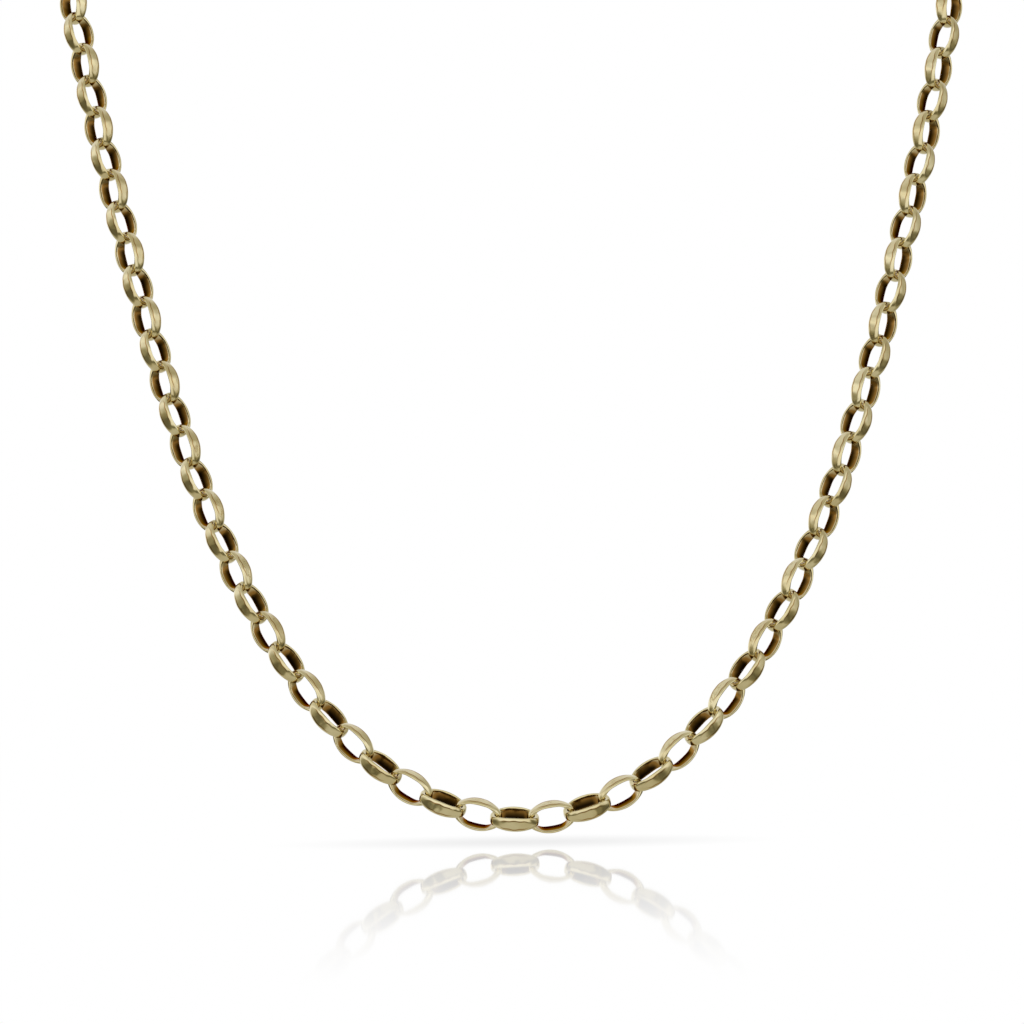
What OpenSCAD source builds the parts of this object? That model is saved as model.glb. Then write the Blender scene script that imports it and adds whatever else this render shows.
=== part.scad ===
// Oval rolo chain: a whole neck chain of domed oval links whose long sides are hammered
// to leaf-shaped flats, closed by one plain ring at the nape.
// Millimetres. +Z is up and -Y is the front. The origin is the middle of the nape, where
// the chain hangs on a neck; the rest lies below it, round the neck and down the chest.

/* [Link] */
// Length of a link over its rounded ends
link_length = 6.16; // [5.4:0.02:8]
// Width of a link over its two flats
link_width = 3.9; // [3.6:0.05:4.8]
// Thickness of metal at the ends of a link
end_wall = 0.36; // [0.32:0.01:0.5]
// Thickness of metal in the middle of a long side
side_wall = 0.36; // [0.32:0.01:0.6]
// Width of the band in the middle of a long side
band_width = 1.8; // [1.5:0.05:2]
// Width of the band at the very end of a link
tip_width = 1; // [0.6:0.05:1.1]
// Radius of the domed outside, along the ends and across the band
dome_radius = 1.55; // [1.45:0.01:1.7]
// How deep the dome is hammered away on a long side
flat_depth = 0.13; // [0.08:0.01:0.18]
// Length of each hammered flat
flat_length = 4.6; // [3.6:0.1:4.8]
// Radius of the opening at a link's ends, as a share of half its width
opening_roundness = 0.92; // [0.88:0.01:0.99]

/* [Chain] */
// Length of the closed necklace along its middle line
chain_length = 508; // [400:1:760]
// Least play along the chain where one link hangs in the next, so that rims clear in a bend
link_play = 0.54; // [0.48:0.01:0.7]
// Angle by which every second link leans off the skin, each way
lay_angle = 45; // [42:1:46]
// How far the links have slipped round towards +X
slip = -1.1; // [-4:0.1:4]

/* [Clasp] */
// Outer diameter of the plain closing ring
ring_diameter = 7; // [6:0.1:10]
// Thickness of the ring's round wire
ring_wire = 1.1; // [0.9:0.05:1.4]

/* [Hidden] */
$fn = 48;
gold = [0.72, 0.64, 0.42];

// Half of the loop's middle line as x, y, z, from its lowest point round to the nape.
// The other half mirrors it. Only its shape counts: it is scaled to chain_length.
ROUTE = [
  [0, -114, -146],
  [12, -112.5, -143],
  [22.5, -109, -135],
  [31.5, -104, -123],
  [39, -97.5, -108],
  [45, -91, -91],
  [50, -84.5, -73],
  [54.5, -77.5, -55],
  [58, -70.5, -38],
  [60, -57, -23],
  [56, -39, -13],
  [47, -22, -6],
  [32, -9, -2],
  [16, -2, 0],
  [0, 0, 0],
];
// Straight steps to each stretch between two points of the route
route_steps = 12;
// Slope of the chest off the vertical, and the radius at which it turns to the sides
chest_slope = 23;
chest_radius = 700;
// Degrees by which the chest faces towards +X
chest_turn = 2.4;
// Shares of the half loop between which the chain leaves the chest and lies round the neck
chest_end = 0.48;
neck_start = 1;
// How far in front of the nape the middle of the neck lies
neck_depth = 55;
// How unevenly the links lie, as degrees either way, and the phase between two links
unevenness = 0.5;
uneven_phase = 137.5;

// A link's outline is an oval of four arcs, with half axes a and b and radius r at its ends
function side_radius(a, b, r) = (a * a + b * b - 2 * a * r) / (2 * (b - r));
// Radius of an arc that falls by drop over a distance of run from its top
function arc_radius(run, drop) = (run * run + drop * drop) / (2 * drop);
// How far an arc of radius r falls over a distance of run from its top
function fall(r, run) = r - sqrt(r * r - run * run);

half_length = link_length / 2;
crest = link_width / 2 + flat_depth;
outer_radius = side_radius(half_length, crest, dome_radius);

open_length = half_length - end_wall;
open_width = link_width / 2 - side_wall;
opening_radius = opening_roundness * open_width;

flat_fall = link_width / 2 - crest + fall(outer_radius, flat_length / 2);
flat_radius = arc_radius(flat_length / 2, flat_fall);
edge_radius = arc_radius(half_length, (band_width - tip_width) / 2);
// Half the width of the next link's tip, as it crosses the end of an opening
tip_half = (band_width / 2 - fall(edge_radius, open_length)) / tan(lay_angle);
longest_pitch = 2 * open_length - 2 * fall(opening_radius, tip_half) - link_play;

// The route as one closed list of points, from the lowest point round past +X
half_count = len(ROUTE) - 1;
loop = [
  for (p = ROUTE) p,
  for (i = [half_count - 1:-1:1]) [-ROUTE[i].x, ROUTE[i].y, ROUTE[i].z],
];
// A smooth curve through four points of the loop, from the second to the third
function blend(a, b, c, d, t) =
  b + (c - a) * t / 2 + (2 * a - 5 * b + 4 * c - d) * t * t / 2
  + (3 * b - a - 3 * c + d) * t * t * t / 2;
function loop_point(i) = loop[i % len(loop)];
curve = [
  for (i = [0:len(loop) - 1])
    for (j = [0:route_steps - 1])
      blend(loop_point(i + len(loop) - 1), loop_point(i), loop_point(i + 1),
        loop_point(i + 2), j / route_steps),
  loop[0],
];
steps = [for (i = [1:len(curve) - 1]) norm(curve[i] - curve[i - 1])];
// Distance along the curve to each of its points
lengths = [
  for (i = 0, s = 0; i < len(curve); s = s + (i < len(steps) ? steps[i] : 0), i = i + 1) s,
];
loop_scale = chain_length / lengths[len(steps)];
along = [for (axis = [0:2]) [for (i = [0:len(steps)]) [lengths[i], curve[i][axis]]]];
// Point on the loop at distance s from its lowest point, positive past +X
function on_loop(s) =
  let (d = ((s % chain_length) + chain_length) % chain_length / loop_scale)
  loop_scale * [for (axis = [0:2]) lookup(d, along[axis])];

// Distance from the ring's middle to the middle of the links that hang in it
ring_hole = ring_diameter / 2 - ring_wire;
ring_reach = ring_hole - fall(ring_hole, tip_half) - link_play / 2 + open_length;
// Links each side of the lowest one, and the pitch that closes the loop
side_links = ceil((chain_length / 2 - ring_reach) / longest_pitch);
pitch = (chain_length / 2 - ring_reach) / side_links;

function unit(v) = v / norm(v);
// Every second link leans the other way
function lean(i) = i % 2 == 0 ? lay_angle : -lay_angle;
function smooth(t) = let (u = max(0, min(1, t))) u * u * (3 - 2 * u);
// The way out of the body at distance s along the loop: off the chest, then off the neck
function outward(s) =
  let (
    p = on_loop(s),
    across = p.x / chest_radius + sin(chest_turn),
    chest = unit([across, -cos(chest_slope), sin(chest_slope)]),
    neck = unit([p.x, p.y + neck_depth, 0]),
    far = min(abs(s), chain_length - abs(s)) / (chain_length / 2),
    share = smooth((far - chest_end) / (neck_start - chest_end))
  )
  chest * (1 - share) + neck * share;

// Places its children with X along the loop at s and Z turned off the skin's normal by turn
module on_chain(s, reach, turn) {
  a = on_loop(s - reach);
  b = on_loop(s + reach);
  x = unit(b - a);
  level = unit(cross(outward(s), x));
  normal = cross(x, level);
  z = normal * cos(turn) + level * sin(turn);
  y = cross(z, x);
  o = (a + b) / 2;
  multmatrix([
    [x.x, y.x, z.x, o.x],
    [x.y, y.y, z.y, o.y],
    [x.z, y.z, z.z, o.z],
  ]) children();
}

// Outline between two arcs of one radius, half_height from the middle to each
module leaf(radius, half_height) {
  intersection_for(side = [-1, 1])
    translate([0, side * (radius - half_height)]) circle(radius);
}

// Oval of four arcs with half axes a and b, and end as the radius of its ends
module oval(a, b, end) {
  side = side_radius(a, b, end);
  touch = side * (a - end) / (side - end);
  intersection() {
    leaf(side, b);
    square([2 * touch, 2 * b], center = true);
  }
  for (way = [-1, 1]) translate([way * (a - end), 0]) circle(end);
}

// The round blank of a link, an oval turned about the link's length
module blank() {
  rotate([0, 90, 0]) rotate_extrude()
    intersection() {
      rotate(90) oval(half_length, crest, dome_radius);
      translate([0, -link_length]) square(2 * link_length);
    }
}

// One link, with its length along X and its opening facing Z
module link() {
  difference() {
    intersection() {
      blank();
      linear_extrude(link_width, center = true) leaf(flat_radius, link_width / 2);
      rotate([90, 0, 0])
        linear_extrude(2 * link_width, center = true) leaf(edge_radius, band_width / 2);
    }
    linear_extrude(link_width, center = true)
      oval(open_length, open_width, opening_radius);
  }
}

// The links from number first to number last, counted from the lowest one
module links(first, last) {
  for (i = [first:last])
    on_chain(i * pitch + slip, pitch / 2, lean(i) + unevenness * sin(i * uneven_phase)) link();
}

module chain_left() {
  color(gold) links(-side_links, -1);
}

module chain_right() {
  color(gold) links(0, side_links);
}

// Plain closing ring in which both end links hang, leaning as the next link would
module clasp_ring() {
  color(gold)
    on_chain(chain_length / 2 + slip, ring_hole, lean(side_links + 1))
      rotate_extrude() translate([ring_hole + ring_wire / 2, 0]) circle(ring_wire / 2);
}

chain_left();
chain_right();
clasp_ring();
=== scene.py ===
import math

import bpy
from mathutils import Matrix, Vector


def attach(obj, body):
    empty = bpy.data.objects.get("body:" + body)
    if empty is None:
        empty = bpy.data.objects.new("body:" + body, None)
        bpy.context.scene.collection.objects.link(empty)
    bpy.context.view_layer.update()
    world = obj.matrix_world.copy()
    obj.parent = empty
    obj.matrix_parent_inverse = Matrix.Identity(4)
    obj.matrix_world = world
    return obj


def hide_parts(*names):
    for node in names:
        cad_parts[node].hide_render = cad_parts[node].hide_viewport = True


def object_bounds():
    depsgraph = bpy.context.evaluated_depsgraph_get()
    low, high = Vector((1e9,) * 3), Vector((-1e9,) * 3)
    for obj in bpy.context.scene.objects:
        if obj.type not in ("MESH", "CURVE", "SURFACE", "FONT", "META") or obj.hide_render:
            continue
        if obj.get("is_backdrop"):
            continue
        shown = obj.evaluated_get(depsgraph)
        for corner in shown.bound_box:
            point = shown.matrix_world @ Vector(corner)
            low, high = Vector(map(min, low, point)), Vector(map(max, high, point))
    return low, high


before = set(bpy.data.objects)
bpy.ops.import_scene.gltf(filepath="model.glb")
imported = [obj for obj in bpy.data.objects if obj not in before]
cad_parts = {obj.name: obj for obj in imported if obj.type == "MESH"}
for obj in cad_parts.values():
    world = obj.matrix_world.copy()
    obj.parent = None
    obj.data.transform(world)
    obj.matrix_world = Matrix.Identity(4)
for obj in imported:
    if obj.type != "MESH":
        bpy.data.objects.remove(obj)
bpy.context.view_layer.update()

bl_info = {
    "name": "Oval Rolo Chain",
    "version": (1, 0, 0),
    "blender": (4, 5, 0),
    "location": "3D View > Sidebar > Rolo Chain",
    "description": "Makes a hanging neck chain of oval hammered links in polished pale gold",
    "category": "Add Mesh",
}

MM = 0.001

# Half of the loop's middle line, in millimetres, from its lowest point round to the nape.
# Only its shape counts: it is scaled to the chain's length
ROUTE = (
    (0, -114, -146), (12, -112.5, -143), (22.5, -109, -135), (31.5, -104, -123),
    (39, -97.5, -108), (45, -91, -91), (50, -84.5, -73), (54.5, -77.5, -55),
    (58, -70.5, -38), (60, -57, -23), (56, -39, -13), (47, -22, -6),
    (32, -9, -2), (16, -2, 0), (0, 0, 0),
)
# Straight steps to each stretch between two points of the route
ROUTE_STEPS = 12
# Slope of the chest off the vertical, the radius at which it turns to the sides, and the
# angle by which it faces towards +X
CHEST_SLOPE = math.radians(23)
CHEST_RADIUS = 700 * MM
CHEST_TURN = math.radians(2.4)
# Shares of the half loop between which the chain leaves the chest and lies round the neck
CHEST_END = 0.48
NECK_START = 1.0
# How far in front of the nape the middle of the neck lies
NECK_DEPTH = 55 * MM
# Phase between the small turns of two neighbouring links
UNEVEN_PHASE = math.radians(137.5)

# Halvings of the stretch in which the surface of a link is looked for
HALVINGS = 40
# Largest share of the way to the next point that the rounding of a corner takes
CORNER_LIMIT = 0.9
# Along half an opening: the share at which the sections of a long side begin to turn into
# those of an end, and the share over which they do
END_START = 0.35
END_RUN = 0.45
# Points up the wall of an opening, as shares of the way from its middle to its rim
WALL_POINTS = (0, 0.3, 0.52)
# Power by which the swell of the wall falls off towards the rim
SWELL_POWER = 4
# Share of the swell at an end that is left at its rims
RIM_SWELL = 0.75
# Share of the rims' rounding that is missing at the ends of a link
END_SHARPNESS = 0.5
# How far down the wall the inner rim is rounded, against the depth of the rounding
WALL_RUN = 1.5
# Points of each rounded corner of a rim, and of a crease
CORNER_POINTS = 4
CREASE_POINTS = 3
# Share of the flat's height that a section's middle reaches where there is a flat
ON_FLAT = 0.98
# Waves along the edges of the flats, in one turn round a link
FLAT_WAVES = 11
# Least height of a flat's edge as a share of the rim's, and its least gap to the rim
# against the depth of the rim's rounding
EDGE_LOW = 0.3
EDGE_GAP = 1.2
# Place of the shoulder between the crease and the rim, as a share of the way
SHOULDER = 0.25
# Height of the point on the flat beside the crease, as a share of the crease's
FLAT_POINT = 0.8

# How deep the painted shade of the points of an opening's wall is along a link's sides,
# standing in for the shade inside the openings: from its middle to the front rim, and from
# beside its middle, nearly black, to the back rim
WALL_SHADE = (0.82, 0.68, 0.5, 0.08)
BACK_SHADE = (0.92, 1.0, 0.95, 0.75, 0.38, 0.1)
# Share of that shade that is left at the ends of a link
END_SHADE = 0.25
# Painted shade of the points of a crease, a dark line standing in for the crease's shade, from the
# rim's side
CREASE_SHADE = (0.36, 0.5, 0.34)
# Place of a crease's first point in a section, after the wall, two corners and the shoulder
CREASE_START = len(WALL_POINTS) + 2 * CORNER_POINTS

# Sections round the closing ring, and points round each
RING_STATIONS = 96
RING_POINTS = 24


def length_prop(name, text, default):
    return bpy.props.FloatProperty(name=name, description=text, default=default, min=0,
                                   precision=5, subtype="DISTANCE", unit="LENGTH")


def angle_prop(name, text, degrees):
    return bpy.props.FloatProperty(name=name, description=text, default=math.radians(degrees),
                                   subtype="ANGLE", unit="ROTATION")


def colour_prop(name, text, default):
    return bpy.props.FloatVectorProperty(name=name, description=text, default=default, size=3,
                                         min=0, max=1, subtype="COLOR")


class LinkSizes(bpy.types.PropertyGroup):
    length: length_prop("Length", "Length of a link over its rounded ends", 6.16 * MM)
    width: length_prop("Width", "Width of a link over its two flats", 3.9 * MM)
    end_wall: length_prop("End wall", "Thickness of metal at the ends", 0.36 * MM)
    side_wall: length_prop("Side wall", "Thickness in the middle of a side", 0.36 * MM)
    band: length_prop("Band", "Width of the band in the middle of a side", 1.8 * MM)
    tip: length_prop("Tip", "Width of the band at the very end of a link", 1 * MM)
    dome: length_prop("Dome", "Radius of the domed outside", 1.55 * MM)
    flat_depth: length_prop("Flat depth", "Depth hammered off the dome", 0.085 * MM)
    flat_length: length_prop("Flat length", "Length of a hammered flat", 4.6 * MM)
    rim: length_prop("Rim", "How deep the rims are rounded", 0.17 * MM)
    crease: length_prop("Crease", "Half width of the soft crease round a hammered flat", 0.05 * MM)
    bulge: length_prop("Bulge", "How far the inside of a long side swells", 0.03 * MM)
    end_bulge: length_prop("End bulge", "How far the inside of an end swells", 0.29 * MM)
    waviness: length_prop("Waviness", "How far the edge of a flat waves", 0.05 * MM)
    opening_roundness: bpy.props.FloatProperty(
        name="Opening roundness", description="End radius of the opening, as a share of half "
        "its width", default=0.92, min=0.5, max=0.99, subtype="FACTOR")
    stations: bpy.props.IntProperty(
        name="Stations", description="Cross-sections round one link", default=60, min=24)


class ChainSizes(bpy.types.PropertyGroup):
    length: length_prop("Length", "Length of the closed chain", 508 * MM)
    play: length_prop("Play", "Play where one link hangs in the next", 0.54 * MM)
    ring_diameter: length_prop("Ring", "Outer diameter of the closing ring", 7 * MM)
    ring_wire: length_prop("Ring wire", "Thickness of the ring's wire", 1.1 * MM)
    slip: bpy.props.FloatProperty(
        name="Slip", description="How far the links have slipped round", default=-1.1 * MM,
        precision=5, subtype="DISTANCE", unit="LENGTH")
    lay: angle_prop("Lay", "Lean of every second link off the skin, each way", 45)
    unevenness: angle_prop("Unevenness", "Small turn of a link either way", 0.5)


class GoldFinish(bpy.types.PropertyGroup):
    pale: colour_prop("Pale gold", "Colour of the polished metal", (0.86, 0.76, 0.45))
    deep: colour_prop("Deep gold", "Colour where the polish is warmer", (0.77, 0.65, 0.34))
    # Inside and dark are painted shade: the brown and the near black painted on the walls of the
    # openings in place of their shade and dim reflections
    inside: colour_prop("Inside", "Colour of the wall of an opening", (0.38, 0.2, 0.045))
    dark: colour_prop("Dark", "Colour of the back of that wall", (0.02, 0.01, 0.003))
    roughness: bpy.props.FloatProperty(
        name="Roughness", description="Mean roughness of the polish", default=0.1,
        min=0, max=1, subtype="FACTOR")


class StudioSizes(bpy.types.PropertyGroup):
    distance: length_prop("Distance", "Camera to the lowest link", 0.69)
    floor_gap: length_prop("Floor gap", "Floor below the lowest link", 0.001)
    key: bpy.props.FloatProperty(
        name="Key light", description="Power of the light above", default=3.0, min=0,
        unit="POWER")


def smooth(t):
    """Runs from 0 to 1 with soft ends, as t does."""
    t = max(0, min(1, t))
    return t * t * (3 - 2 * t)


def side_radius(a, b, r):
    """Radius of the long sides of an oval with half axes a and b and end radius r."""
    return (a * a + b * b - 2 * a * r) / (2 * (b - r))


def arc_radius(run, drop):
    """Radius of an arc that falls by drop over a distance of run from its top."""
    return (run * run + drop * drop) / (2 * drop)


def fall(r, run):
    """How far an arc of radius r falls over a distance of run from its top."""
    return r - math.sqrt(max(0, r * r - run * run))


def round_corner(before, corner, after, runs, count):
    """Points of the curve that takes off a corner, over the given runs each side of it."""
    u, v = before - corner, after - corner
    start = corner + u.normalized() * min(runs[0], CORNER_LIMIT * u.length)
    end = corner + v.normalized() * min(runs[1], CORNER_LIMIT * v.length)
    return [start * (1 - t) ** 2 + 2 * t * (1 - t) * corner + end * t * t
            for t in (k / (count - 1) for k in range(count))]


class LinkForm:
    """The sums behind one link, with its length on X and its opening facing Z."""

    def __init__(self, sizes):
        self.half = sizes.length / 2
        self.width = sizes.width / 2
        self.crest = self.width + sizes.flat_depth
        self.dome = sizes.dome
        self.outer = side_radius(self.half, self.crest, self.dome)
        self.open_half = self.half - sizes.end_wall
        self.open_width = self.width - sizes.side_wall
        self.open_end = sizes.opening_roundness * self.open_width
        self.open_side = side_radius(self.open_half, self.open_width, self.open_end)
        flat_fall = self.width - self.crest + fall(self.outer, sizes.flat_length / 2)
        self.flat_radius = arc_radius(sizes.flat_length / 2, flat_fall)
        self.band = sizes.band / 2
        self.edge_radius = arc_radius(self.half, (sizes.band - sizes.tip) / 2)
        self.rim = sizes.rim
        self.crease = sizes.crease
        self.bulge = sizes.bulge
        self.end_bulge = sizes.end_bulge
        self.waviness = sizes.waviness

    def dome_height(self, x):
        """Radius of the round blank at x."""
        x = abs(x)
        touch = self.outer * (self.half - self.dome) / (self.outer - self.dome)
        if x < touch:
            return self.crest - fall(self.outer, x)
        run = x - (self.half - self.dome)
        return math.sqrt(max(0, self.dome ** 2 - run * run))

    def flat_height(self, x):
        """Distance of the flat at x from the link's length axis."""
        return self.width - fall(self.flat_radius, x)

    def rim_height(self, x):
        """Half the width of the band at x."""
        return self.band - fall(self.edge_radius, x)

    def inner_point(self, share):
        """Point and outward normal on the opening, at a share of its way round."""
        run = self.open_half - self.open_end
        turn = math.atan2(self.open_side - self.open_width, run)
        end_arc = self.open_end * turn
        side_arc = self.open_side * (math.pi / 2 - turn)
        quarter = end_arc + side_arc
        way = (share % 1) * 4 * quarter
        sector, way = divmod(way, quarter)
        if sector % 2:
            way = quarter - way
        if way < end_arc:
            angle = way / self.open_end
            x = run + self.open_end * math.cos(angle)
            y = self.open_end * math.sin(angle)
        else:
            angle = turn + (way - end_arc) / self.open_side
            x = self.open_side * math.cos(angle)
            y = self.open_side * math.sin(angle) - (self.open_side - self.open_width)
        flip_x = -1 if sector in (1, 2) else 1
        flip_y = -1 if sector in (2, 3) else 1
        return (Vector((flip_x * x, flip_y * y)),
                Vector((flip_x * math.cos(angle), flip_y * math.sin(angle))))

    def reach(self, inner, way, height):
        """Distance from the opening out to the surface, where height(x) gives z."""
        low, high = 0, 2 * self.crest
        for _ in range(HALVINGS):
            middle = (low + high) / 2
            p = inner + middle * way
            z = height(p.x)
            inside = (abs(p.x) < self.half and abs(p.y) < self.flat_height(p.x)
                      and p.y ** 2 + z * z < self.dome_height(p.x) ** 2)
            low, high = (middle, high) if inside else (low, middle)
        return low

    def end_share(self, x):
        """0 along the long sides of the opening, 1 at its ends."""
        return smooth((abs(x) / self.open_half - END_START) / END_RUN)

    def flat_edge(self, middle, rim, share):
        """Height of the flat's wavy edge, from the middle of a section and its rim's height."""
        flat = self.flat_height(middle.x)
        leaf = math.sqrt(max(0, self.dome_height(middle.x) ** 2 - flat ** 2))
        if abs(middle.y) < ON_FLAT * flat:
            leaf = 0
        wave = self.waviness * math.sin(FLAT_WAVES * share * 2 * math.pi)
        high = rim - EDGE_GAP * self.rim
        low = min(EDGE_LOW * rim, high)
        return min(max(leaf + wave, low), high)

    def section(self, share):
        """Points of one cross-section, round from the middle of the opening's wall."""
        inner, way = self.inner_point(share)

        def outside(z):
            return Vector((self.reach(inner, way, lambda x: z), z))

        end = self.end_share(inner.x)
        swell = self.bulge * (1 - end) + self.end_bulge * end
        depth = self.rim * (1 - END_SHARPNESS * end)
        top = self.rim_height(inner.x)
        rim_out = self.reach(inner, way, self.rim_height)
        inner_corner = Vector((-RIM_SWELL * self.end_bulge * end, top))
        outer_corner = Vector((rim_out, self.rim_height(inner.x + rim_out * way.x)))
        rim = inner_corner.lerp(outer_corner, 0.5)
        crest = outside(0)
        edge = outside(self.flat_edge(inner + crest.x * way, outer_corner.y, share))
        shoulder = outside(edge.y + SHOULDER * (outer_corner.y - edge.y))

        swelled = swell + inner_corner.x
        wall = [Vector((inner_corner.x - swelled * (1 - t ** SWELL_POWER), t * top))
                for t in WALL_POINTS]
        half = wall[1:]
        half += round_corner(wall[-1], inner_corner, rim, (WALL_RUN * depth, rim_out),
                             CORNER_POINTS)
        half += round_corner(rim, outer_corner, shoulder, (rim_out, depth), CORNER_POINTS)[1:]
        half.append(shoulder)
        half += round_corner(shoulder, edge, crest, (self.crease, self.crease), CREASE_POINTS)
        half.append(outside(FLAT_POINT * half[-1].y))
        ring = [wall[0]] + half + [crest]
        ring += [Vector((p.x, -p.y)) for p in reversed(half)]
        return [Vector((inner.x + p.x * way.x, inner.y + p.x * way.y, p.y)) for p in ring]


class Loop:
    """The chain's middle line, and the frames of the links along it."""

    def __init__(self, chain, form):
        half = [Vector(p) * MM for p in ROUTE]
        loop = half + [Vector((-p.x, p.y, p.z)) for p in reversed(half[1:-1])]
        count = len(loop)
        self.curve = []
        for i in range(count):
            a, b, c, d = (loop[(i + k) % count] for k in (-1, 0, 1, 2))
            for j in range(ROUTE_STEPS):
                t = j / ROUTE_STEPS
                self.curve.append(b + (c - a) * t / 2 + (2 * a - 5 * b + 4 * c - d) * t * t / 2
                                  + (3 * b - a - 3 * c + d) * t ** 3 / 2)
        self.curve.append(loop[0])
        self.marks = [0]
        for a, b in zip(self.curve, self.curve[1:]):
            self.marks.append(self.marks[-1] + (b - a).length)
        self.chain = chain
        self.length = chain.length
        self.scale = self.length / self.marks[-1]
        tip = form.band - fall(form.edge_radius, form.open_half)
        tip /= math.tan(chain.lay)
        longest = 2 * form.open_half - 2 * fall(form.open_end, tip) - chain.play
        self.ring_hole = chain.ring_diameter / 2 - chain.ring_wire
        reach = self.ring_hole - fall(self.ring_hole, tip) - chain.play / 2 + form.open_half
        self.side_links = math.ceil((self.length / 2 - reach) / longest)
        self.pitch = (self.length / 2 - reach) / self.side_links

    def at(self, s):
        """Point at distance s along the loop from its lowest point, positive past +X."""
        d = (s % self.length) / self.scale
        low, high = 0, len(self.marks) - 1
        while high - low > 1:
            middle = (low + high) // 2
            low, high = (middle, high) if self.marks[middle] <= d else (low, middle)
        t = (d - self.marks[low]) / (self.marks[high] - self.marks[low])
        return self.scale * self.curve[low].lerp(self.curve[high], t)

    def outward(self, s):
        """The way out of the body at s: off the chest, and further up off the neck."""
        p = self.at(s)
        chest = Vector((p.x / CHEST_RADIUS + math.sin(CHEST_TURN),
                        -math.cos(CHEST_SLOPE), math.sin(CHEST_SLOPE)))
        neck = Vector((p.x, p.y + NECK_DEPTH, 0))
        far = min(abs(s), self.length - abs(s)) / (self.length / 2)
        share = smooth((far - CHEST_END) / (NECK_START - CHEST_END))
        return chest.normalized() * (1 - share) + neck.normalized() * share

    def place(self, s, reach, turn):
        """Frame with X along the loop at s and Z turned off the skin by turn."""
        a, b = self.at(s - reach), self.at(s + reach)
        x = (b - a).normalized()
        level = self.outward(s).cross(x).normalized()
        z = x.cross(level) * math.cos(turn) + level * math.sin(turn)
        columns = Matrix((x, z.cross(x), z)).transposed().to_4x4()
        return Matrix.Translation((a + b) / 2) @ columns

    def lean(self, i):
        """Every second link leans the other way."""
        return self.chain.lay if i % 2 == 0 else -self.chain.lay

    def link_place(self, i):
        """Frame of link number i, counted from the lowest one."""
        turn = self.lean(i) + self.chain.unevenness * math.sin(i * UNEVEN_PHASE)
        return self.place(i * self.pitch + self.chain.slip, self.pitch / 2, turn)

    def ring_place(self):
        """Frame of the closing ring, which leans as the next link would."""
        return self.place(self.length / 2 + self.chain.slip, self.ring_hole,
                          self.lean(self.side_links + 1))


class Field:
    """A value that runs through a node tree, so that sums on it add their nodes."""

    def __init__(self, nodes, socket):
        self.nodes = nodes
        self.socket = socket

    def sum(self, operation, a, b):
        return self.nodes.add("ShaderNodeMath", {"operation": operation}, {0: a, 1: b})

    def __add__(self, other):
        return self.sum("ADD", self, other)

    __radd__ = __add__

    def __mul__(self, other):
        return self.sum("MULTIPLY", self, other)

    __rmul__ = __mul__

    def __sub__(self, other):
        return self.sum("SUBTRACT", self, other)

    def __rsub__(self, other):
        return self.sum("SUBTRACT", other, self)

    def ramp(self, low, high, start=0.0, end=1.0):
        """Runs smoothly from start to end, as the value goes from low to high."""
        return self.nodes.add(
            "ShaderNodeMapRange", {"interpolation_type": "SMOOTHSTEP"},
            {"Value": self, "From Min": low, "From Max": high, "To Min": start, "To Max": end},
            "Result")


class Nodes:
    """Adds nodes to the tree of a material or world."""

    def __init__(self, owner):
        owner.use_nodes = True
        self.tree = owner.node_tree
        self.tree.nodes.clear()

    def add(self, kind, settings=None, inputs=None, output=0):
        """A new node, as the field of its output. A ramp's stops are one of its settings."""
        node = self.tree.nodes.new(kind)
        for name, value in (settings or {}).items():
            if name == "stops":
                while len(node.color_ramp.elements) < len(value):
                    node.color_ramp.elements.new(1)
                for stop, (place, colour) in zip(node.color_ramp.elements, value):
                    stop.position = place
                    stop.color = colour
            else:
                setattr(node, name, value)
        for name, value in (inputs or {}).items():
            if isinstance(value, Field):
                self.tree.links.new(value.socket, node.inputs[name])
            else:
                node.inputs[name].default_value = value
        return Field(self, node.outputs[output]) if len(node.outputs) else node

    def noise(self, place, scale, detail, roughness):
        """Soft noise at a place, with scale patches to the metre."""
        return self.add("ShaderNodeTexNoise", None, {"Vector": place, "Scale": scale,
                                                     "Detail": detail, "Roughness": roughness})

    def blend(self, share, start, end):
        """Colour from start to end, as the share goes from 0 to 1."""
        return self.add("ShaderNodeMix", {"data_type": "RGBA"},
                        {0: share, 6: (*start, 1), 7: (*end, 1)}, 2)

    def spread(self, place, middle, width, depth):
        """0 at the middle of an ellipse on the floor, 1 at its half width and depth."""
        away = self.add("ShaderNodeVectorMath", {"operation": "SUBTRACT"}, {0: place, 1: middle})
        scaled = self.add("ShaderNodeVectorMath", {"operation": "MULTIPLY"},
                          {0: away, 1: (1 / width, 1 / depth, 0)})
        return self.add("ShaderNodeVectorMath", {"operation": "LENGTH"}, {0: scaled}, "Value")


GOLD_NAME = "polished_pale_gold"
# Marks on the gold, as patches of noise to the metre: its warmth, the fine grain of its
# polish and the soft waves that the hammer left
WARMTH_SCALE = 260.0
GRAIN_SCALE = 5200.0
WAVE_SCALE = 700.0
# Strength and depth of the waves and of the grain
WAVE_STRENGTH = 0.8
WAVE_DEPTH = 0.00016
GRAIN_STRENGTH = 0.06
GRAIN_DEPTH = 0.00001
# How far the grain moves the roughness, from the smoothest to the roughest spot
GRAIN_ROUGHNESS = 0.08
COAT_ROUGHNESS = 0.05
WALL_ROUGHNESS = 0.16
# Tint of the wall's reflection at a grazing angle
WALL_GLANCE = (0.5, 0.3, 0.08, 1)
# Painted shade at which the polish has given way to the painted brown of the wall, which then turns
# dark
BROWN_SHADE = 0.5


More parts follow.
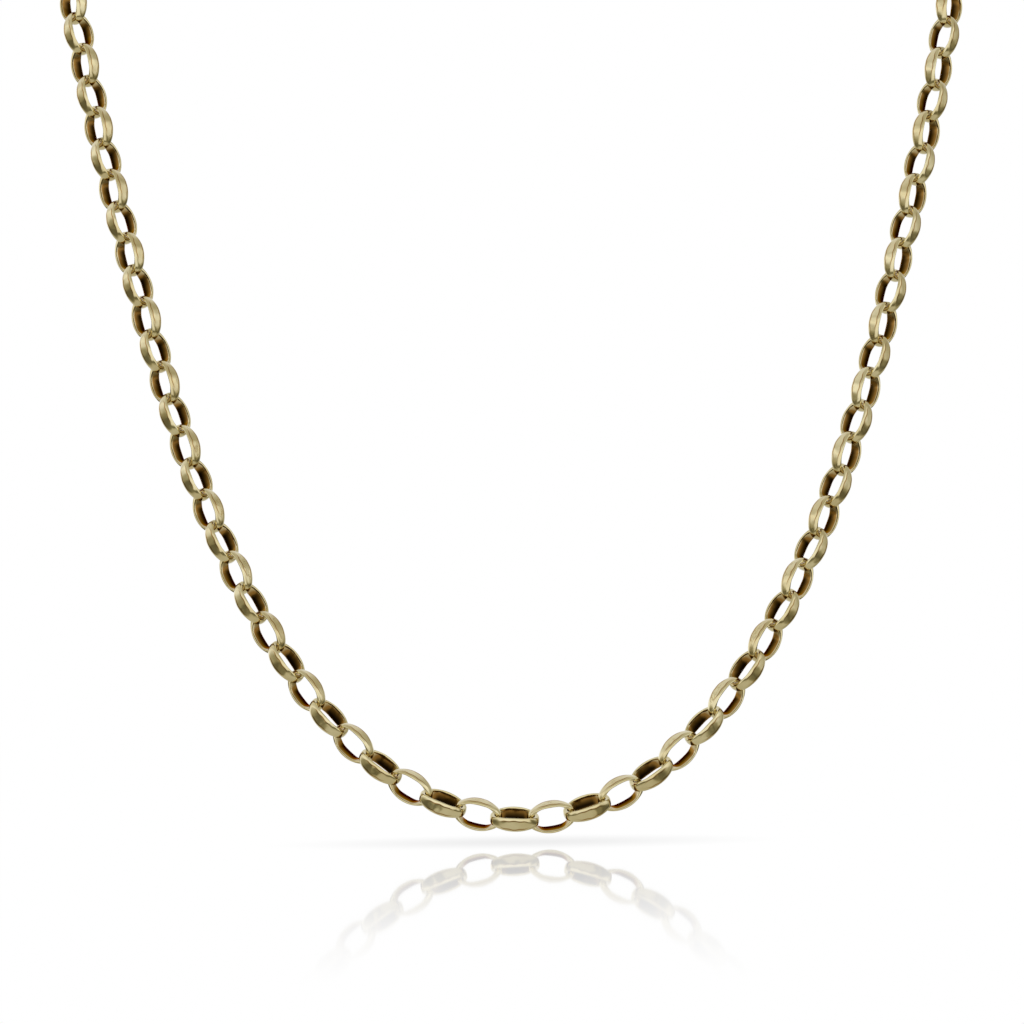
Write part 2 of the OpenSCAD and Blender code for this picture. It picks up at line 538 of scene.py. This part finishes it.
def gold_material(look):
    """Pale gold with hammer waves and fine grain on its polish, and painted brown shade in the
    openings.
    """
    material = bpy.data.materials.get(GOLD_NAME)
    if material:
        return material
    material = bpy.data.materials.new(GOLD_NAME)
    nodes = Nodes(material)
    place = nodes.add("ShaderNodeTexCoord", output="Object")
    warmth = nodes.noise(place, WARMTH_SCALE, 2.0, 0.5)
    grain = nodes.noise(place, GRAIN_SCALE, 2.0, 0.6)
    wave = nodes.noise(place, WAVE_SCALE, 1.0, 0.4)
    colour = nodes.blend(warmth.ramp(0.35, 0.65), look.deep, look.pale)
    hammered = nodes.add("ShaderNodeBump", None, {
        "Strength": WAVE_STRENGTH, "Distance": WAVE_DEPTH, "Height": wave})
    polished = nodes.add("ShaderNodeBump", None, {
        "Strength": GRAIN_STRENGTH, "Distance": GRAIN_DEPTH, "Height": grain, "Normal": hammered})
    smoothest = look.roughness - GRAIN_ROUGHNESS / 2
    metal = nodes.add("ShaderNodeBsdfPrincipled", None, {
        "Base Color": colour, "Metallic": 1.0,
        "Roughness": smoothest + GRAIN_ROUGHNESS * grain.ramp(0.3, 0.7),
        "Coat Weight": 1.0, "Coat Roughness": COAT_ROUGHNESS, "Normal": polished})
    # The inside attribute holds how deep the painted shade is, on the walls of the openings and in
    # the creases
    inside = nodes.add("ShaderNodeAttribute", {"attribute_name": "inside"}, output="Fac")
    brown = nodes.blend(inside.ramp(BROWN_SHADE, 1.0), look.inside, look.dark)
    # Where that shade is painted, the metal turns brown and then near black
    wall = nodes.add("ShaderNodeBsdfPrincipled", None, {
        "Base Color": brown, "Metallic": 1.0, "Roughness": WALL_ROUGHNESS,
        "Specular Tint": WALL_GLANCE, "Normal": polished})
    shader = nodes.add("ShaderNodeMixShader", None, {
        0: inside.ramp(0.0, BROWN_SHADE), 1: metal, 2: wall})
    nodes.add("ShaderNodeOutputMaterial", None, {"Surface": shader})
    return material


def finish_piece(piece, node, material):
    """Gives a piece its metal, hangs it from the root body, and hides the CAD node it stands for.
    """
    piece.data.materials.clear()
    piece.data.materials.append(material)
    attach(piece, "root")
    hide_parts(node)


def section_shades(count, end):
    """Painted shade of each point of a section, where end is 1 at the ends of a link."""
    left = 1 - (1 - END_SHADE) * end
    shades = [0] * count
    for k, shade in enumerate(WALL_SHADE):
        shades[k] = left * shade
    for k, shade in enumerate(BACK_SHADE, 1):
        shades[-k] = left * shade
    for k, shade in enumerate(CREASE_SHADE, CREASE_START):
        shades[k] = shades[-k] = (1 - end) * shade
    return shades


class ROLO_OT_links(bpy.types.Operator):
    """Make the oval links of both halves of the chain"""
    bl_idname = "rolo.links"
    bl_label = "Oval links"
    bl_options = {"REGISTER", "UNDO"}

    def one_link(self, form, sizes):
        """A torus whose sections are drawn out to the link's own band."""
        bpy.ops.object.select_all(action="DESELECT")
        ring = len(form.section(0))
        bpy.ops.mesh.primitive_torus_add(
            major_segments=sizes.stations, minor_segments=ring,
            major_radius=form.width, minor_radius=form.band / 2)
        link = bpy.context.object
        # Each point's painted shade goes into the inside attribute
        inside = link.data.attributes.new("inside", "FLOAT", "POINT")
        for number in range(sizes.stations):
            share = (number + 0.5) / sizes.stations
            shades = section_shades(ring, form.end_share(form.inner_point(share)[0].x))
            for k, point in enumerate(form.section(share)):
                # A torus begins each section on its outside, and these begin on the wall
                index = number * ring + (k + ring // 2) % ring
                link.data.vertices[index].co = point
                inside.data[index].value = shades[k]
        bpy.ops.object.mode_set(mode="EDIT")
        bpy.ops.mesh.select_all(action="SELECT")
        bpy.ops.mesh.normals_make_consistent(inside=False)
        bpy.ops.object.mode_set(mode="OBJECT")
        bpy.ops.object.shade_smooth()
        return link

    def row(self, link, loop, numbers, name):
        """Copies of the link at their places along the loop, joined into one piece."""
        copies = []
        for i in numbers:
            copy = bpy.data.objects.new(name, link.data.copy())
            copy.data.transform(loop.link_place(i))
            bpy.context.collection.objects.link(copy)
            copies.append(copy)
        bpy.ops.object.select_all(action="DESELECT")
        for copy in copies:
            copy.select_set(True)
        bpy.context.view_layer.objects.active = copies[0]
        bpy.ops.object.join()
        copies[0].name = name
        return copies[0]

    def execute(self, context):
        scene = context.scene
        form = LinkForm(scene.rolo_link)
        loop = Loop(scene.rolo_chain, form)
        link = self.one_link(form, scene.rolo_link)
        gold = gold_material(scene.rolo_gold)
        left = self.row(link, loop, range(-loop.side_links, 0), "left_links")
        right = self.row(link, loop, range(0, loop.side_links + 1), "right_links")
        bpy.data.objects.remove(link)
        finish_piece(left, "chain_left", gold)
        finish_piece(right, "chain_right", gold)
        return {"FINISHED"}


class ROLO_OT_ring(bpy.types.Operator):
    """Make the plain closing ring at the nape"""
    bl_idname = "rolo.ring"
    bl_label = "Closing ring"
    bl_options = {"REGISTER", "UNDO"}

    def execute(self, context):
        scene = context.scene
        chain = scene.rolo_chain
        loop = Loop(chain, LinkForm(scene.rolo_link))
        bpy.ops.object.select_all(action="DESELECT")
        bpy.ops.mesh.primitive_torus_add(
            major_segments=RING_STATIONS, minor_segments=RING_POINTS,
            major_radius=(chain.ring_diameter - chain.ring_wire) / 2,
            minor_radius=chain.ring_wire / 2)
        ring = bpy.context.object
        ring.name = "closing_ring"
        bpy.ops.object.shade_smooth()
        ring.data.transform(loop.ring_place())
        finish_piece(ring, "clasp_ring", gold_material(scene.rolo_gold))
        return {"FINISHED"}


# The floor, in metres. Its mirror image begins this far in front of the chain and is full
# this far behind the chain's front
MIRROR_START = 0.214
MIRROR_FULL = 0.016
# Largest share of the mirror image, its roughness, and the radius past which there is none
MIRROR_SHARE = 0.5
MIRROR_ROUGHNESS = 0.03
MIRROR_RADIUS = 0.5
# Half width and depth of the soft shadow painted on the card, how far behind the chain's
# front it lies, and the brightness of its middle
SHADOW_WIDTH = 0.034
SHADOW_DEPTH = 0.018
SHADOW_BACK = 0.002
SHADOW_LIGHT = 0.72


def floor_material(front):
    """White card with a painted shadow, glossy near the chain, whose mirror image fades towards the
    camera.
    """
    material = bpy.data.materials.new("white_card")
    nodes = Nodes(material)
    place = nodes.add("ShaderNodeTexCoord", output="Object")
    depth = nodes.add("ShaderNodeSeparateXYZ", None, {"Vector": place}, "Y")
    gloss = depth.ramp(front - MIRROR_START, front + MIRROR_FULL, 0.0, MIRROR_SHARE)
    away = nodes.spread(place, (0, front, 0), MIRROR_RADIUS, MIRROR_RADIUS)
    gloss = gloss * away.ramp(0.5, 1.0, 1.0, 0.0)
    # A soft shadow is painted into the card's glow under the chain
    shadow = nodes.spread(place, (0, front + SHADOW_BACK, 0), SHADOW_WIDTH, SHADOW_DEPTH)
    light = shadow.ramp(0.0, 1.0, SHADOW_LIGHT, 1.0)
    card = nodes.add("ShaderNodeEmission", None, {"Color": light, "Strength": 1.0})
    mirror = nodes.add("ShaderNodeBsdfGlossy", None, {
        "Color": (1, 1, 1, 1), "Roughness": MIRROR_ROUGHNESS})
    near = nodes.add("ShaderNodeMixShader", None, {0: gloss, 1: card, 2: mirror})
    nodes.add("ShaderNodeOutputMaterial", None, {"Surface": near})
    return material


# Brightness of the studio that the metal mirrors, against the height of the direction from
# straight down at 0 to straight up at 1: towards the camera, to the sides and behind
ROOM_FRONT = ((0.0, 0.5), (0.134, 0.54), (0.19, 0.5), (0.235, 0.16), (0.285, 0.16), (0.35, 0.85),
              (0.55, 0.95), (0.75, 0.95), (0.85, 0.6), (0.93, 0.5))
ROOM_SIDE = ((0.0, 0.5), (0.2, 0.36), (0.3, 0.22), (0.42, 0.24), (0.5, 0.5), (0.8, 0.75),
             (1.0, 0.55))
ROOM_BACK = ((0.0, 0.5), (0.25, 0.6), (0.45, 0.85), (0.5, 1.0), (0.56, 1.0), (0.66, 0.8),
             (0.9, 0.7), (0.97, 0.5))
# Where the front turns into the back, against y of the direction, and either turns into
# the sides, against the square of x
BACK_RUN = (-0.1, 0.35)
SIDE_RUN = (0.4, 0.85)
# How much darker it is behind on the right, and between which x of the direction it gets so
DIM_CORNER = 0.4
DIM_RUN = (0.25, 0.7)
# Light and dark stripes at the sides: their strength, and how fast they change with x and z
STRIPES = 0.42
STRIPES_X = 14
STRIPES_Z = 4
# Colour of the studio's dark parts, and the brightness from which it whitens, and is white
WARM_DARK = (1.0, 0.92, 0.6)
WHITE = (1.0, 1.0, 1.0)
WARM_RUN = (0.15, 0.8)


def studio_world(world):
    """White backdrop for the camera, and a softly lit room for the metal to mirror."""
    nodes = Nodes(world)
    way = nodes.add("ShaderNodeTexCoord", output="Generated")
    split = nodes.add("ShaderNodeSeparateXYZ", None, {"Vector": way})
    x, y, z = (Field(nodes, split.socket.node.outputs[axis]) for axis in "XYZ")
    height = z * 0.5 + 0.5

    def wall(stops):
        shades = [(place, (grey, grey, grey, 1)) for place, grey in stops]
        return nodes.add("ShaderNodeValToRGB", {"stops": shades}, {"Fac": height})

    front, side, back = wall(ROOM_FRONT), wall(ROOM_SIDE), wall(ROOM_BACK)
    behind = y.ramp(*BACK_RUN)
    beside = (x * x).ramp(*SIDE_RUN)
    room = front + (back - front) * behind
    room = room + (side - room) * beside
    room = room * (1 - DIM_CORNER * behind * x.ramp(*DIM_RUN))
    stripes = nodes.add("ShaderNodeMath", {"operation": "SINE"}, {0: x * STRIPES_X + z * STRIPES_Z})
    room = room * (1 + STRIPES * beside * stripes)
    seen = nodes.add("ShaderNodeLightPath", output="Is Camera Ray")
    light = room + (1 - room) * seen
    tint = nodes.blend(light.ramp(*WARM_RUN), WARM_DARK, WHITE)
    shader = nodes.add("ShaderNodeBackground", None, {"Color": tint, "Strength": light})
    nodes.add("ShaderNodeOutputWorld", None, {"Surface": shader})


# The stage, in metres
FLOOR_SIZE = 6
KEY_PLACE = (0.05, -0.15, 0.7)
KEY_WIDTH = 0.5
KEY_DEPTH = 0.35
# Place of the camera across and up, the middle of the lowest link from front to back, and
# the camera's roll
EYE_X = -0.00091
EYE_Z = -0.10792
LOWEST_Y = -0.114
EYE_ROLL = math.radians(0.75)
# Width of the sensor in millimetres, and the picture's width and focal length in pixels
SENSOR_WIDTH = 36
PICTURE_PIXELS = 1024
FOCAL_PIXELS = 5580


class ROLO_OT_stage(bpy.types.Operator):
    """Make the floor, the light and the camera"""
    bl_idname = "rolo.stage"
    bl_label = "Stage"
    bl_options = {"REGISTER", "UNDO"}

    def add_floor(self, gap):
        """The card below the chain, at that gap from its lowest point."""
        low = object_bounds()[0]
        bpy.ops.object.select_all(action="DESELECT")
        bpy.ops.mesh.primitive_plane_add(size=FLOOR_SIZE, location=(0, 0, low[2] - gap))
        floor = bpy.context.object
        floor.name = "studio_floor"
        bpy.ops.object.transform_apply(location=True, rotation=True, scale=True)
        floor.data.materials.append(floor_material(low[1]))
        floor.visible_glossy = False
        floor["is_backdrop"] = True

    def add_key(self, power):
        """A soft light from above."""
        bpy.ops.object.light_add(type="AREA", location=KEY_PLACE)
        key = bpy.context.object
        key.name = "key_light"
        key.data.shape = "RECTANGLE"
        key.data.size = KEY_WIDTH
        key.data.size_y = KEY_DEPTH
        key.data.energy = power
        key.visible_glossy = False

    def add_camera(self, context, distance):
        """The photo's camera, level and a long way in front of the chain."""
        camera = bpy.data.cameras.new("camera")
        camera.sensor_width = SENSOR_WIDTH
        camera.lens = SENSOR_WIDTH * FOCAL_PIXELS / PICTURE_PIXELS
        eye = bpy.data.objects.new("camera", camera)
        eye.location = (EYE_X, LOWEST_Y - distance, EYE_Z)
        eye.rotation_euler = (math.pi / 2, EYE_ROLL, 0)
        context.collection.objects.link(eye)
        context.scene.camera = eye

    def execute(self, context):
        scene = context.scene
        self.add_floor(scene.rolo_studio.floor_gap)
        scene.world = bpy.data.worlds.new("studio")
        studio_world(scene.world)
        self.add_key(scene.rolo_studio.key)
        self.add_camera(context, scene.rolo_studio.distance)
        scene.view_settings.view_transform = "Standard"
        return {"FINISHED"}


class ROLO_PT_panel(bpy.types.Panel):
    """Lists the chain's pieces and sizes"""
    bl_idname = "ROLO_PT_panel"
    bl_label = "Rolo chain"
    bl_space_type = "VIEW_3D"
    bl_region_type = "UI"
    bl_category = "Rolo Chain"

    def draw(self, context):
        for group in (context.scene.rolo_link, context.scene.rolo_chain,
                      context.scene.rolo_gold, context.scene.rolo_studio):
            box = self.layout.box()
            for name in group.bl_rna.properties.keys():
                if name not in ("rna_type", "name"):
                    box.prop(group, name)
        for operator in (ROLO_OT_links, ROLO_OT_ring, ROLO_OT_stage):
            self.layout.operator(operator.bl_idname)


CLASSES = (LinkSizes, ChainSizes, GoldFinish, StudioSizes, ROLO_OT_links, ROLO_OT_ring,
           ROLO_OT_stage, ROLO_PT_panel)


def register():
    for part in CLASSES:
        bpy.utils.register_class(part)
    bpy.types.Scene.rolo_link = bpy.props.PointerProperty(type=LinkSizes)
    bpy.types.Scene.rolo_chain = bpy.props.PointerProperty(type=ChainSizes)
    bpy.types.Scene.rolo_gold = bpy.props.PointerProperty(type=GoldFinish)
    bpy.types.Scene.rolo_studio = bpy.props.PointerProperty(type=StudioSizes)


def unregister():
    for name in ("rolo_link", "rolo_chain", "rolo_gold", "rolo_studio"):
        delattr(bpy.types.Scene, name)
    for part in reversed(CLASSES):
        bpy.utils.unregister_class(part)


def main():
    register()
    bpy.ops.rolo.links()
    bpy.ops.rolo.ring()
    bpy.ops.rolo.stage()


if __name__ == "__main__":
    main()
